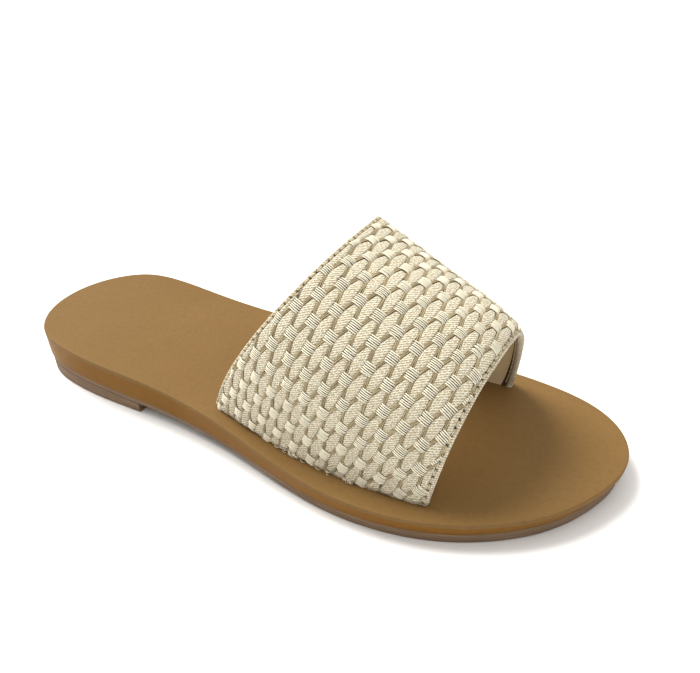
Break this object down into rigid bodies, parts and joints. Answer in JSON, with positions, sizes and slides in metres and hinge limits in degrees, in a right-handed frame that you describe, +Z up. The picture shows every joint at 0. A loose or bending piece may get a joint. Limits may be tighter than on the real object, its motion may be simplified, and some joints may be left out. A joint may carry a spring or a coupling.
{
  "type": "slide sandal",
  "caption": "Flat slide sandal for the right foot: one wide woven band arched over a tan footbed on a thin rubber outsole with a low heel lift.",
  "frame": {"origin": "on the floor under the middle of the heel seat, at the flat underside of the heel lift", "axes": "+X from heel to toe, +Y towards the inner side of the foot, +Z up"},
  "size_m": [0.2517, 0.0976, 0.0791],
  "materials": {
    "footbed_cover": "fine grained, satin",
    "footbed_side": "smooth, satin",
    "sole_rubber": "matte",
    "heel_rubber": "matte",
    "woven_cotton": "woven cotton, matte"
  },
  "bodies": {
    "root": {"insole": "footbed_cover", "midsole": "footbed_side", "outsole": "sole_rubber", "heel_lift": "heel_rubber", "upper_band": "woven_cotton"}
  },
  "joints": []
}
